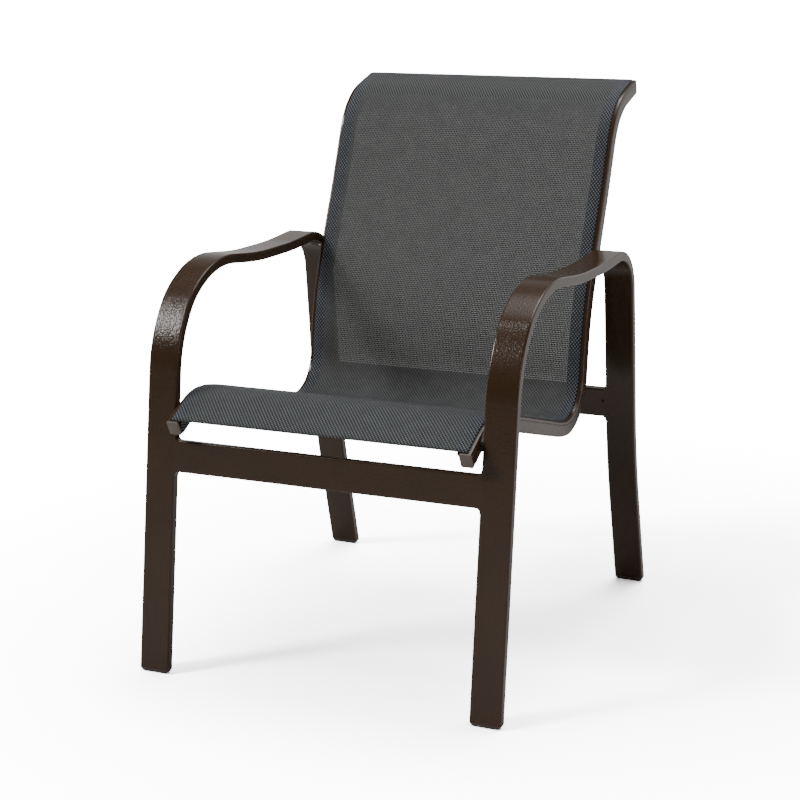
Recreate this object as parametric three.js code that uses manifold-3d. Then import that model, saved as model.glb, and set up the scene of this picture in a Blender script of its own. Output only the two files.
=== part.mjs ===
// Sling patio chair: two bent flat-tube arm frames joined by two stretchers, and a
// mesh sling held in two slotted rails that are bolted between the frames.
// Millimetres, +Z up. The seat faces -Y, and +X is the sitter's left.
import * as THREE from 'three';
import { mergeVertices } from 'three/addons/utils/BufferGeometryUtils.js';
import Module from 'manifold-3d';

// Overall sizes
const chairWidth = 610;
const floorDepth = 716;
const armHeight = 628;
const seatHeight = 442;
const backHeight = 875;
const backReach = 421;

// Flat tube of the arm frames and stretchers
const barWidth = 50;
const barThickness = 16;
const barCorner = 4.5;
const barWall = 1.8;

// Bends of the arm frame, on its outer surface
const upperLegRadius = 186;
const frontBendRadius = 166;
const armDipRadius = 567;
const armRiseRadius = 442;
const rearBendRadius = 80;
const heelRadius = 950;

// Stretchers
const frontStretcherDrop = 30;
const rearStretcherHeight = 342;
const weldLeg = 7;
const drainHoleDiameter = 5;
const drainHoleInset = 6;

// Sling rails
const railWidth = 20;
const railCorner = 2.5;
const railWall = 1.8;
const slotInset = 6.2;
const pocketCover = 2.3;
const pocketFloor = 1.5;
const chamberClearance = 0.7;
const seatFrontRadius = 122;
const creaseRadius = 75;
const lumbarRadius = 501;
const neckRadius = 112;

// Sling
const fabricThickness = 1;
const contactGap = 0.3;
const rodRadius = 2.2;
const hemWidth = 38;
const slingSetback = 2;

// Caps and glides
const frontCapThickness = 2.4;
const topCapThickness = 1.6;
const capPlugLength = 12;
const capPlugGap = 0.4;
const soleHeight = 7;
const soleTaper = 4.4;
const plugRootShare = 0.2;
const glidePlugLength = 22;
const glidePlugGap = 0.4;

// Fasteners that carry the rails
const spacerThickness = 4;
const spacerDiameter = 14;
const boltDiameter = 6;
const boltHeadDiameter = 10;
const boltHeadHeight = 3.2;
const boltReach = 11;
const hexAcrossFlats = 4;
const hexDepth = 2;
const washerDiameter = 10.4;
const washerThickness = 1.2;
const boltClearance = 0.3;
const accessClearance = 0.2;
const insertDiameter = 8.4;
const insertCollarClearance = 1;
const insertCollarLength = 4;
const insertLength = 13;

// Overrun of a cutting tool past the wall that it cuts
const overrun = 20;

// Shares that set the outlines. A frame corner is a share of half the floor depth and
// of the arm height. A seat corner of the rail is a share of half the floor depth and
// of the seat height, a back corner of the back's reach and of the back height.
const frameCornerShares = [
  [-1, 0],
  [-0.8094, 0.7968],
  [-0.6461, 1.0219],
  [-0.0201, 0.9794],
  [0.2974, 0.9734],
  [0.7251, 0.9841],
  [0.8203, 0.3898],
  [1, 0],
];
const seatCornerShares = [
  [-0.936, 0.9255],
  [-0.7036, 1.0186],
  [0.4235, 0.7521],
];
const backCornerShares = [
  [0.3937, 0.5659],
  [0.7563, 0.9664],
  [1, 1],
];

// Steps of the bends and round shapes
const turnStep = THREE.MathUtils.degToRad(9);
const cornerSteps = 1;
const pocketSteps = 4;
const filletSteps = 4;
const roundSides = 16;

// Places that follow from the sizes
const frameOuter = chairWidth / 2;
const frameInner = frameOuter - barWidth;
const railOuter = frameInner - spacerThickness;
const railInner = railOuter - railWidth;
const slotWidth = (fabricThickness + contactGap) * 2;
const slotCentre = railOuter - slotInset - slotWidth / 2;
const pocketRadius = rodRadius + fabricThickness + contactGap * 2;
const pocketDepth = pocketCover + pocketRadius;
const chamberTop = pocketDepth + pocketRadius + pocketFloor;
const chamberCentre = chamberTop + chamberClearance + washerDiameter / 2;
const chamberBottom = chamberCentre + washerDiameter / 2 + chamberClearance;
const railDepth = chamberBottom + railWall;
const boltBore = boltDiameter / 2 + boltClearance;
const insertCollar = barThickness / 2 - barWall - insertCollarClearance;

const wasm = await Module();
wasm.setup();

// A path in the Y-Z plane: straights joined by round bends. Its left side, seen with Y to
// the right and Z up, is the outer side of the frame and the sitter's side of the rails.
class BentPath extends THREE.Curve {
  constructor(corners, radii, leadIn, leadOut) {
    super();
    this.stations = [];
    const turns = bends(corners, radii);
    const first = unit(corners[0], corners[1]);
    const last = unit(corners[corners.length - 2], corners[corners.length - 1]);
    this.add(moved(corners[0], first, -leadIn), Math.atan2(first[1], first[0]));
    for (const turn of turns) {
      const steps = Math.max(1, Math.ceil(Math.abs(turn.angle) / turnStep));
      const reach = Math.sign(turn.angle) * turn.radius;
      for (let i = 0; i <= steps; i += 1) {
        const angle = turn.start + (turn.angle * i) / steps;
        this.add(moved(turn.centre, [Math.sin(angle), -Math.cos(angle)], reach), angle);
      }
    }
    this.add(moved(corners[corners.length - 1], last, leadOut), Math.atan2(last[1], last[0]));
  }

  // A bend that starts where the last one ends shares its station
  add(point, angle) {
    const last = this.stations[this.stations.length - 1];
    if (!last || Math.hypot(point[0] - last.point[0], point[1] - last.point[1]) > contactGap) {
      this.stations.push({ point, angle });
    }
  }

  get steps() {
    return this.stations.length - 1;
  }

  getPointAt(share) {
    const [y, z] = this.stations[Math.round(share * this.steps)].point;
    return new THREE.Vector3(0, y, z);
  }

  getTangentAt(share) {
    const { angle } = this.stations[Math.round(share * this.steps)];
    return new THREE.Vector3(0, Math.cos(angle), Math.sin(angle));
  }

  // The same path moved to its right side by a depth
  atDepth(depth) {
    return this.stations.map(({ point, angle }) => [
      point[0] + depth * Math.sin(angle),
      point[1] - depth * Math.cos(angle),
    ]);
  }
}

function unit(from, to) {
  const length = Math.hypot(to[0] - from[0], to[1] - from[1]);
  return [(to[0] - from[0]) / length, (to[1] - from[1]) / length];
}

function moved(point, direction, distance) {
  return [point[0] + direction[0] * distance, point[1] + direction[1] * distance];
}

// The round bend at each inner corner. Where two bends share a straight that is too
// short for both, both are drawn in until they fit.
function bends(corners, radii) {
  const count = corners.length;
  const directions = [];
  const lengths = [];
  for (let i = 0; i < count - 1; i += 1) {
    directions.push(unit(corners[i], corners[i + 1]));
    lengths.push(Math.hypot(corners[i + 1][0] - corners[i][0], corners[i + 1][1] - corners[i][1]));
  }
  const angles = [];
  const reaches = [0];
  for (let i = 1; i < count - 1; i += 1) {
    const [a, b] = [directions[i - 1], directions[i]];
    const angle = Math.atan2(a[0] * b[1] - a[1] * b[0], a[0] * b[0] + a[1] * b[1]);
    angles.push(angle);
    reaches.push(radii[i - 1] * Math.tan(Math.abs(angle) / 2));
  }
  reaches.push(0);
  const fitShares = lengths.map((length, i) => Math.min(1, length / (reaches[i] + reaches[i + 1])));
  return angles.map((angle, i) => {
    const reach = reaches[i + 1] * Math.min(fitShares[i], fitShares[i + 1]);
    const radius = reach / Math.tan(Math.abs(angle) / 2);
    const start = Math.atan2(directions[i][1], directions[i][0]);
    const entry = moved(corners[i + 1], directions[i], -reach);
    const side = Math.sign(angle) * radius;
    const centre = [entry[0] - side * Math.sin(start), entry[1] + side * Math.cos(start)];
    return { angle, radius, start, centre };
  });
}

// Where an outline meets another in the side view, and its slope there. Of several
// places the one furthest to the front or to the rear counts.
function meeting(outline, other, towards) {
  const found = [];
  for (let i = 0; i < outline.length - 1; i += 1) {
    for (let j = 0; j < other.length - 1; j += 1) {
      const [a, b, c, d] = [outline[i], outline[i + 1], other[j], other[j + 1]];
      const r = [b[0] - a[0], b[1] - a[1]];
      const s = [d[0] - c[0], d[1] - c[1]];
      const cross = r[0] * s[1] - r[1] * s[0];
      const t = ((c[0] - a[0]) * s[1] - (c[1] - a[1]) * s[0]) / cross;
      const u = ((c[0] - a[0]) * r[1] - (c[1] - a[1]) * r[0]) / cross;
      if (t >= 0 && t <= 1 && u >= 0 && u <= 1) {
        found.push({ point: [a[0] + t * r[0], a[1] + t * r[1]], angle: Math.atan2(r[1], r[0]) });
      }
    }
  }
  found.sort((p, q) => (q.point[0] - p.point[0]) * towards);
  return found[0];
}

function legAt(height, towards) {
  const level = [
    [-floorDepth, height],
    [floorDepth, height],
  ];
  return meeting(framePath.atDepth(0), level, towards);
}

function roundedRectangle(Kind, x0, x1, y0, y1, radius) {
  const outline = new Kind();
  outline.moveTo(x0 + radius, y0);
  outline.lineTo(x1 - radius, y0);
  outline.absarc(x1 - radius, y0 + radius, radius, -Math.PI / 2, 0, false);
  outline.lineTo(x1, y1 - radius);
  outline.absarc(x1 - radius, y1 - radius, radius, 0, Math.PI / 2, false);
  outline.lineTo(x0 + radius, y1);
  outline.absarc(x0 + radius, y1 - radius, radius, Math.PI / 2, Math.PI, false);
  outline.lineTo(x0, y0 + radius);
  outline.absarc(x0 + radius, y0 + radius, radius, Math.PI, Math.PI * 1.5, false);
  return outline;
}

function polygon(Kind, points) {
  return new Kind(points.map(([x, y]) => new THREE.Vector2(x, y)));
}

// A shape carried along a path. Its x grows away from the seat's middle on the right-hand
// side of the chair, -X, and its y grows to the path's left.
function swept(shape, path, curveSegments) {
  return new THREE.ExtrudeGeometry(shape, {
    steps: path.steps,
    extrudePath: path,
    curveSegments,
    bevelEnabled: false,
  });
}

// A shape pushed along X between two planes. Its x becomes Y and its y becomes Z.
function pushed(shape, fromX, toX, curveSegments) {
  const options = { depth: toX - fromX, curveSegments, bevelEnabled: false };
  const axes = new THREE.Matrix4().makeBasis(
    new THREE.Vector3(0, 1, 0),
    new THREE.Vector3(0, 0, 1),
    new THREE.Vector3(1, 0, 0),
  );
  return new THREE.ExtrudeGeometry(shape, options).applyMatrix4(axes).translate(fromX, 0, 0);
}

// A turned piece: a closed outline of [radius, distance] spun round the X axis, with the
// distances counted from a plane and away from the seat's middle
function turned(outline, side, planeX, [y, z]) {
  const points = outline.map(([radius, distance]) => new THREE.Vector2(radius, distance));
  return new THREE.LatheGeometry(points, roundSides)
    .rotateZ((-side * Math.PI) / 2)
    .translate(side * planeX, y, z);
}

function rod(radius, fromX, toX, [y, z], sides) {
  return new THREE.CylinderGeometry(radius, radius, toX - fromX, sides)
    .rotateZ(Math.PI / 2)
    .translate((fromX + toX) / 2, y, z);
}

function solid(geometry) {
  const bare = geometry.clone();
  bare.deleteAttribute('normal');
  bare.deleteAttribute('uv');
  const merged = mergeVertices(bare);
  const triangles = [];
  const { array } = merged.index;
  for (let i = 0; i < array.length; i += 3) {
    const [a, b, c] = [array[i], array[i + 1], array[i + 2]];
    if (a !== b && b !== c && c !== a) {
      triangles.push(a, b, c);
    }
  }
  return new wasm.Manifold(new wasm.Mesh({
    numProp: 3,
    vertProperties: new Float32Array(merged.attributes.position.array),
    triVerts: new Uint32Array(triangles),
  }));
}

function geometryOf(manifold) {
  const mesh = manifold.getMesh();
  const geometry = new THREE.BufferGeometry();
  geometry.setAttribute('position', new THREE.BufferAttribute(mesh.vertProperties, 3));
  geometry.setIndex(new THREE.BufferAttribute(mesh.triVerts, 1));
  geometry.computeVertexNormals();
  return geometry;
}

function cut(geometry, tools) {
  return geometryOf(tools.reduce((rest, tool) => rest.subtract(solid(tool)), solid(geometry)));
}

function joined(geometries) {
  return geometryOf(geometries.slice(1).reduce((all, next) => all.add(solid(next)), solid(geometries[0])));
}

const frameFinish = new THREE.MeshStandardMaterial({ color: 0x34261e, roughness: 0.42, metalness: 0.35 });
const meshFinish = new THREE.MeshStandardMaterial({ color: 0x4a4f54, roughness: 0.85, metalness: 0 });
const capFinish = new THREE.MeshStandardMaterial({ color: 0x4b3f38, roughness: 0.55, metalness: 0 });
const glideFinish = new THREE.MeshStandardMaterial({ color: 0x2c231d, roughness: 0.6, metalness: 0 });
const blackFinish = new THREE.MeshStandardMaterial({ color: 0x141414, roughness: 0.7, metalness: 0 });
const rodFinish = new THREE.MeshStandardMaterial({ color: 0xd8d4c8, roughness: 0.5, metalness: 0 });
const steelFinish = new THREE.MeshStandardMaterial({ color: 0xb4b6b8, roughness: 0.35, metalness: 1 });

const chair = new THREE.Group();

function add(name, geometry, material) {
  const mesh = new THREE.Mesh(geometry, material);
  mesh.name = name;
  chair.add(mesh);
}

const halfDepth = floorDepth / 2;
const framePath = new BentPath(
  frameCornerShares.map(([y, z]) => [y * halfDepth, z * armHeight]),
  [upperLegRadius, frontBendRadius, armDipRadius, armRiseRadius, rearBendRadius, heelRadius],
  overrun,
  overrun,
);

const railPath = new BentPath(
  [
    ...seatCornerShares.map(([y, z]) => [y * halfDepth, z * seatHeight]),
    ...backCornerShares.map(([y, z]) => [y * backReach, z * backHeight]),
  ],
  [seatFrontRadius, creaseRadius, lumbarRadius, neckRadius],
  0,
  0,
);

const barMiddle = framePath.atDepth(barThickness / 2);
const chamberLine = railPath.atDepth(chamberCentre);
const boltPlaces = {
  front: meeting(barMiddle, chamberLine, -1).point,
  rear: meeting(barMiddle, chamberLine, 1).point,
};

function tubeShape(x0, x1, y0, y1) {
  const shape = roundedRectangle(THREE.Shape, x0, x1, y0, y1, barCorner);
  const inset = [x0 + barWall, x1 - barWall, y0 + barWall, y1 - barWall];
  shape.holes.push(roundedRectangle(THREE.Path, ...inset, barCorner - barWall));
  return shape;
}

function between(side, inner, outer) {
  return side > 0 ? [-outer, -inner] : [inner, outer];
}

// One flat tube bent into the front leg, arm and rear leg, cut level above its glides
function armFrame(side) {
  const [x0, x1] = between(side, frameInner, frameOuter);
  const tube = swept(tubeShape(x0, x1, -barThickness, 0), framePath, cornerSteps);
  const floorCut = new THREE.BoxGeometry(chairWidth * 2, floorDepth * 2, overrun * 4)
    .translate(0, 0, soleHeight - overrun * 2);
  const insertHoles = Object.values(boltPlaces).map((place) => {
    const [from, to] = side > 0
      ? [frameInner - overrun, frameInner + barWall + barCorner]
      : [-frameInner - barWall - barCorner, -frameInner + overrun];
    return rod(insertDiameter / 2 + contactGap, from, to, place, roundSides);
  });
  return cut(tube, [floorCut, ...insertHoles]);
}

// A straight flat tube between the arm frames, in the slope of the legs, with a weld
// fillet above and below each end
function stretcher(place, angle, frontFaceDepth) {
  const half = barWidth / 2;
  const front = -frontFaceDepth;
  const section = tubeShape(front, front + barThickness, -half, half);
  const parts = [pushed(section, -frameInner, frameInner, cornerSteps)];
  const flat = barThickness - barCorner * 2;
  for (const side of [-1, 1]) {
    for (const up of [-1, 1]) {
      const fillet = new THREE.Shape();
      const root = up * (half - barWall);
      fillet.moveTo(side * frameInner, root);
      fillet.lineTo(side * frameInner, up * (half + weldLeg));
      fillet.quadraticCurveTo(side * frameInner, up * half, side * (frameInner - weldLeg), up * half);
      fillet.lineTo(side * (frameInner - weldLeg), root);
      fillet.closePath();
      const options = { depth: flat, curveSegments: filletSteps, bevelEnabled: false };
      const plate = new THREE.ExtrudeGeometry(fillet, options)
        .rotateX(Math.PI / 2)
        .translate(0, front + barCorner + flat, 0);
      parts.push(plate);
    }
  }
  return joined(parts).rotateX(angle - Math.PI / 2).translate(0, place[0], place[1]);
}

// The round part of a keyhole about a spline rod, from one side of its neck to the other
function keyhole(radius, neckHalf) {
  const neck = Math.asin(neckHalf / radius);
  const arcSteps = pocketSteps * 2;
  return Array.from({ length: arcSteps + 1 }, (_, i) => {
    const angle = neck + ((Math.PI * 2 - neck * 2) * i) / arcSteps;
    return [slotCentre + radius * Math.sin(angle), -pocketDepth + radius * Math.cos(angle)];
  });
}

// The rail's section: a spline slot that opens on the sitter's side, a round pocket
// under it, and an L-shaped chamber
function railShape(side) {
  const turn = (x) => -side * x;
  const shape = new THREE.Shape();
  const pocket = keyhole(pocketRadius, slotWidth / 2);
  const corners = [
    [railOuter - railCorner, 0],
    [slotCentre + slotWidth / 2, 0],
    ...pocket,
    [slotCentre - slotWidth / 2, 0],
    [railInner + railCorner, 0],
  ];
  corners.forEach(([x, y], i) => (i === 0 ? shape.moveTo(turn(x), y) : shape.lineTo(turn(x), y)));
  roundCorner(shape, turn, [railInner, 0], [railInner, -railCorner]);
  shape.lineTo(turn(railInner), -railDepth + railCorner);
  roundCorner(shape, turn, [railInner, -railDepth], [railInner + railCorner, -railDepth]);
  shape.lineTo(turn(railOuter - railCorner), -railDepth);
  roundCorner(shape, turn, [railOuter, -railDepth], [railOuter, -railDepth + railCorner]);
  shape.lineTo(turn(railOuter), -railCorner);
  roundCorner(shape, turn, [railOuter, 0], [railOuter - railCorner, 0]);
  const ledge = slotCentre - pocketRadius - pocketFloor;
  shape.holes.push(polygon(THREE.Path, [
    [turn(railInner + railWall), -railWall],
    [turn(ledge), -railWall],
    [turn(ledge), -chamberTop],
    [turn(railOuter - railWall), -chamberTop],
    [turn(railOuter - railWall), -chamberBottom],
    [turn(railInner + railWall), -chamberBottom],
  ]));
  return shape;
}

function roundCorner(shape, turn, corner, end) {
  shape.quadraticCurveTo(turn(corner[0]), corner[1], turn(end[0]), end[1]);
}

function slingRail(side) {
  const accessRadius = washerDiameter / 2 + accessClearance;
  const blank = swept(railShape(side), railPath, cornerSteps);
  const holes = Object.values(boltPlaces).flatMap((place) => {
    const wallMiddle = side * (railOuter - railWidth / 2);
    const outerEnd = side * (railOuter + overrun);
    const innerEnd = side * (railInner - overrun);
    return [
      rod(boltBore, Math.min(wallMiddle, outerEnd), Math.max(wallMiddle, outerEnd), place, roundSides),
      rod(accessRadius, Math.min(wallMiddle, innerEnd), Math.max(wallMiddle, innerEnd), place, roundSides),
    ];
  });
  return cut(blank, holes);
}

// The path of the rails without a short length at each end
function shortened(path, length) {
  const points = path.stations.map((station) => ({ ...station }));
  const [start, end] = [points[0], points[points.length - 1]];
  start.point = moved(start.point, [Math.cos(start.angle), Math.sin(start.angle)], length);
  end.point = moved(end.point, [Math.cos(end.angle), Math.sin(end.angle)], -length);
  const copy = Object.create(path);
  copy.stations = points;
  return copy;
}

// The sling's section: a sheet over both rails, with each side turned round a spline rod
// and back under the sheet as a second layer
function slingShape() {
  const under = contactGap;
  const seam = under + fabricThickness;
  const top = seam + fabricThickness;
  const hemInner = rodRadius + contactGap;
  const hemOuter = hemInner + fabricThickness;
  const loop = keyhole(hemOuter, fabricThickness);
  const hemEnd = railInner - hemWidth;
  const half = [
    [slotCentre + fabricThickness, top],
    ...loop,
    [slotCentre - fabricThickness, under],
    [hemEnd, under],
    [hemEnd, seam],
  ];
  const mirrored = half.map(([x, y]) => [-x, y]).reverse();
  const shape = polygon(THREE.Shape, [...half, ...mirrored]);
  for (const centre of [-slotCentre, slotCentre]) {
    const hole = new THREE.Path();
    hole.absarc(centre, -pocketDepth, hemInner, 0, Math.PI * 2, false);
    shape.holes.push(hole);
  }
  return shape;
}

function splineRod(side) {
  const shape = new THREE.Shape();
  shape.absarc(-side * slotCentre, -pocketDepth, rodRadius, 0, Math.PI * 2, false);
  return swept(shape, shortened(railPath, slingSetback), pocketSteps - 1);
}

// A flat cap on a rail end, with a plug in the rail's chamber
function railCap(side, station, outward, thickness) {
  const [x0, x1] = between(side, railInner, railOuter);
  const plate = new THREE.ExtrudeGeometry(
    roundedRectangle(THREE.Shape, x0, x1, -railDepth, 0, railCorner),
    { depth: thickness, curveSegments: cornerSteps, bevelEnabled: false },
  ).translate(0, 0, contactGap);
  const inset = railWall + capPlugGap;
  const [p0, p1] = between(side, railInner + inset, railOuter - inset);
  const plug = new THREE.ExtrudeGeometry(
    polygon(THREE.Shape, [
      [p0, -chamberBottom + capPlugGap],
      [p1, -chamberBottom + capPlugGap],
      [p1, -chamberTop - capPlugGap],
      [p0, -chamberTop - capPlugGap],
    ]),
    { depth: capPlugLength + contactGap + thickness / 2, bevelEnabled: false },
  ).translate(0, 0, -capPlugLength);
  // Shape x is -X, shape y is the path's left, and depth runs out of the rail's end
  const left = new THREE.Vector3(0, -Math.sin(station.angle), Math.cos(station.angle));
  const out = new THREE.Vector3(0, outward * Math.cos(station.angle), outward * Math.sin(station.angle));
  const across = new THREE.Vector3().crossVectors(left, out);
  const facing = across.x < 0 ? 1 : -1;
  const place = new THREE.Matrix4()
    .makeBasis(across, left, out)
    .setPosition(0, station.point[0], station.point[1]);
  const mirror = new THREE.Matrix4().makeScale(facing, 1, 1);
  const cap = joined([plate, plug]);
  return facing > 0 ? cap.applyMatrix4(place) : flipped(cap.applyMatrix4(mirror)).applyMatrix4(place);
}

// A mirrored mesh has its faces turned, so that they point out again
function flipped(geometry) {
  const { array } = geometry.index;
  for (let i = 0; i < array.length; i += 3) {
    [array[i], array[i + 1]] = [array[i + 1], array[i]];
  }
  return geometry;
}

// The lower end of a block drawn in towards its middle
function narrow(block, [x, y], [shareX, shareY]) {
  const { position } = block.attributes;
  for (let i = 0; i < position.count; i += 1) {
    if (position.getZ(i) < soleHeight / 2) {
      position.setX(i, x + (position.getX(i) - x) * shareX);
      position.setY(i, y + (position.getY(i) - y) * shareY);
    }
  }
}

// A plastic glide: a sole under the tube's level end, narrower at the floor, and a plug
// that slants up in the tube
function footGlide(side, towards) {
  const foot = legAt(soleHeight, towards);
  const slope = Math.abs(Math.tan(foot.angle));
  const lean = towards / slope;
  const spread = barThickness / Math.abs(Math.sin(foot.angle));
  const [x0, x1] = side > 0 ? [frameInner, frameOuter] : [-frameOuter, -frameInner];
  const outerEdge = foot.point[0];
  const innerEdge = outerEdge - towards * spread;
  const [y0, y1] = [Math.min(outerEdge, innerEdge), Math.max(outerEdge, innerEdge)];
  const sole = new THREE.ExtrudeGeometry(
    roundedRectangle(THREE.Shape, x0, x1, y0, y1, barCorner),
    { depth: soleHeight, curveSegments: cornerSteps, bevelEnabled: false },
  );
  const drawnIn = (size) => 1 - (soleTaper * 2) / size;
  narrow(sole, [(x0 + x1) / 2, (y0 + y1) / 2], [drawnIn(barWidth), drawnIn(spread)]);
  const inset = barWall + glidePlugGap;
  const insetAlong = inset / Math.abs(Math.sin(foot.angle));
  const corner = barCorner - barWall;
  const root = soleHeight * plugRootShare;
  const plug = new THREE.ExtrudeGeometry(
    roundedRectangle(THREE.Shape, x0 + inset, x1 - inset, y0 + insetAlong, y1 - insetAlong, corner),
    { depth: glidePlugLength + root, curveSegments: cornerSteps, bevelEnabled: false },
  ).translate(0, 0, -root);
  // The plug leans with the leg: its top slides towards the middle of the chair
  const shear = new THREE.Matrix4().set(1, 0, 0, 0, 0, 1, -lean, 0, 0, 0, 1, 0, 0, 0, 0, 1);
  plug.applyMatrix4(shear).translate(0, 0, soleHeight);
  return joined([sole, plug]);
}

// The bolt's outline from the middle of its head out to its tip
function boltGeometry(side, place) {
  const shankEnd = washerThickness + railWall + spacerThickness + boltReach;
  const head = boltHeadDiameter / 2;
  const shank = boltDiameter / 2;
  const blank = turned([
    [0, -boltHeadHeight],
    [head, -boltHeadHeight],
    [head, 0],
    [shank, 0],
    [shank, shankEnd],
    [0, shankEnd],
  ], side, railOuter - railWall - washerThickness, place);
  const headFace = side * (railOuter - railWall - washerThickness - boltHeadHeight);
  const bottom = headFace + side * hexDepth;
  const mouth = headFace - side * overrun;
  const hexRadius = hexAcrossFlats / 2 / Math.cos(Math.PI / 6);
  const hex = rod(hexRadius, Math.min(bottom, mouth), Math.max(bottom, mouth), place, 6);
  return cut(blank, [hex]);
}

function ring(side, place, radius, planeX, thickness) {
  return turned([
    [boltBore, 0],
    [radius, 0],
    [radius, thickness],
    [boltBore, thickness],
    [boltBore, 0],
  ], side, planeX, place);
}

// A threaded insert in the tube's inner wall, with its collar behind the wall's round
// corners
function frameInsert(side, place) {
  const bore = boltDiameter / 2 + contactGap;
  const neck = insertDiameter / 2;
  const collarStart = barCorner + contactGap;
  return turned([
    [bore, 0],
    [neck, 0],
    [neck, collarStart],
    [insertCollar, collarStart],
    [insertCollar, collarStart + insertCollarLength],
    [neck, collarStart + insertCollarLength],
    [neck, insertLength],
    [bore, insertLength],
    [bore, 0],
  ], side, frameInner, place);
}

const sides = { left: 1, right: -1 };
const slingPath = shortened(railPath, slingSetback);
const railStart = railPath.stations[0];
const railEnd = railPath.stations[railPath.steps];

// The front stretcher stays clear of the rails above it
const legLine = [
  [boltPlaces.front[0], 0],
  [boltPlaces.front[0], backHeight],
];
const railUnderside = meeting(railPath.atDepth(railDepth), legLine, -1).point[1];
const frontLeg = legAt(railUnderside - frontStretcherDrop - barWidth / 2, -1);
const rearLeg = legAt(rearStretcherHeight, 1);

for (const [word, side] of Object.entries(sides)) {
  add(`arm_frame_${word}`, armFrame(side), frameFinish);
  add(`sling_rail_${word}`, slingRail(side), frameFinish);
  add(`spline_rod_${word}`, splineRod(side), rodFinish);
  add(`rail_front_cap_${word}`, railCap(side, railStart, -1, frontCapThickness), capFinish);
  add(`rail_top_cap_${word}`, railCap(side, railEnd, 1, topCapThickness), capFinish);
  add(`front_foot_glide_${word}`, footGlide(side, -1), glideFinish);
  add(`rear_foot_glide_${word}`, footGlide(side, 1), glideFinish);
  for (const [end, place] of Object.entries(boltPlaces)) {
    const washerPlane = railOuter - railWall - washerThickness;
    add(`${end}_rail_bolt_${word}`, boltGeometry(side, place), steelFinish);
    const washer = ring(side, place, washerDiameter / 2, washerPlane, washerThickness);
    const spacer = ring(side, place, spacerDiameter / 2, railOuter, spacerThickness);
    add(`${end}_rail_washer_${word}`, washer, steelFinish);
    add(`${end}_rail_spacer_${word}`, spacer, blackFinish);
    add(`${end}_frame_insert_${word}`, frameInsert(side, place), steelFinish);
  }
}

add('front_stretcher', stretcher(frontLeg.point, frontLeg.angle, 0), frameFinish);
const drainRadius = drainHoleDiameter / 2;
const drainHoles = [-1, 1].map((side) => new THREE.CylinderGeometry(
  drainRadius,
  drainRadius,
  overrun,
  roundSides,
).translate(
  side * (frameInner - drainHoleInset),
  rearLeg.point[0] - barThickness,
  rearStretcherHeight,
));
const rearStretcher = stretcher(rearLeg.point, rearLeg.angle + Math.PI, barThickness);
add('rear_stretcher', cut(rearStretcher, drainHoles), frameFinish);
add('sling', swept(slingShape(), slingPath, pocketSteps - 1), meshFinish);

// The origin is on the floor, under the middle of the chair's box
const box = new THREE.Box3().setFromObject(chair);
chair.position.y = -(box.min.y + box.max.y) / 2;

export default chair;
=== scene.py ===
import math

import bmesh
import bpy
from mathutils import Matrix, Vector


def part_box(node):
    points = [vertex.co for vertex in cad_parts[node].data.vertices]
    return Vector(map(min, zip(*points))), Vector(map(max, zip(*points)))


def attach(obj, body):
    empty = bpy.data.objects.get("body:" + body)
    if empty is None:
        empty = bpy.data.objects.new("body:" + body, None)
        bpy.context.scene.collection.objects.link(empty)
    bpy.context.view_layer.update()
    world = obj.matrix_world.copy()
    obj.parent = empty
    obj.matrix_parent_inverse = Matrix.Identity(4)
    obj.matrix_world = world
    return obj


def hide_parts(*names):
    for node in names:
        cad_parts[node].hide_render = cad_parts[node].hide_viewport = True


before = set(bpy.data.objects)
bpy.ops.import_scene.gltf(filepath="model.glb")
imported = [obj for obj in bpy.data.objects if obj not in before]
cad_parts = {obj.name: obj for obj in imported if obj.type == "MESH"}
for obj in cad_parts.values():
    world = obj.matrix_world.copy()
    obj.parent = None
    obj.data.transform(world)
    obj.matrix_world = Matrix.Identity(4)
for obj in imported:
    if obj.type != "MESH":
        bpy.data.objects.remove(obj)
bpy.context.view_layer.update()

MM = 0.001
SIDES = {"left": 1, "right": -1}
ENDS = ("front", "rear")
# Sides of a turned piece, and degrees of a bend in each of its steps
ROUND_SIDES = 32
BEND_STEP = 3
# Faces that meet at a greater angle than these, in degrees, show an edge between them
SMOOTH_ANGLE = 35
CLOTH_SMOOTH_ANGLE = 60
THREAD_SMOOTH_ANGLE = 80
# In metres: the shortest straight kept, the error allowed in a distance, and how near points merge
SHORTEST_RUN = 1e-7
DISTANCE_ERROR = 1e-9
MERGE_DISTANCE = 1e-6

# Outlines in the side view, in mm from the middle of the feet and the floor
FRAME_CORNERS = [
    (-358.0, 0), (-285.2, 534.8), (-235.3, 590.0), (-163.9, 637.0), (-12.6, 617.1),
    (105.3, 614.8), (258.3, 622.6), (275.1, 455.3), (292.3, 249.6), (358.0, 0),
]
FRAME_RADII = [285, 139, 181, 673, 411, 79, 500, 1010]
RAIL_CORNERS = [
    (-335.1, 409.1), (-296.8, 428.0), (-253.6, 446.1), (-192.5, 433.4), (58.5, 359.0), (146.4, 344.1),
    (158.0, 414.2), (171.0, 512.0), (257.0, 702.0), (292.2, 789.1), (319.6, 846.4), (421.2, 874.7),
]
RAIL_RADII = [81, 101, 305, 302, 83, 305, 498, 915, 301, 133]

# Flat tube of the arm frames and the stretchers, in mm
FRAME_INNER = 255
BAR_WIDTH = 50
BAR_THICKNESS = 16
BAR_CORNER = 2.6
BAR_LEAD = 0.9
LEG_OVERRUN = 30
SOLE_HEIGHT = 7

# Stretchers, their weld fillets, and the drain holes in the rear one, in mm
FRONT_BAR_HEIGHT = 346.47
REAR_BAR_HEIGHT = 342
WELD_FILLET = 7.5
WELD_SINK = 0.1
WELD_RUNOUT = 1
FILLET_STEPS = 6
DRAIN_PLACE = 250.5
DRAIN_HEIGHT = 345
DRAIN_RADIUS = 2.2
DRAIN_DEPTH = 8

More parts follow.
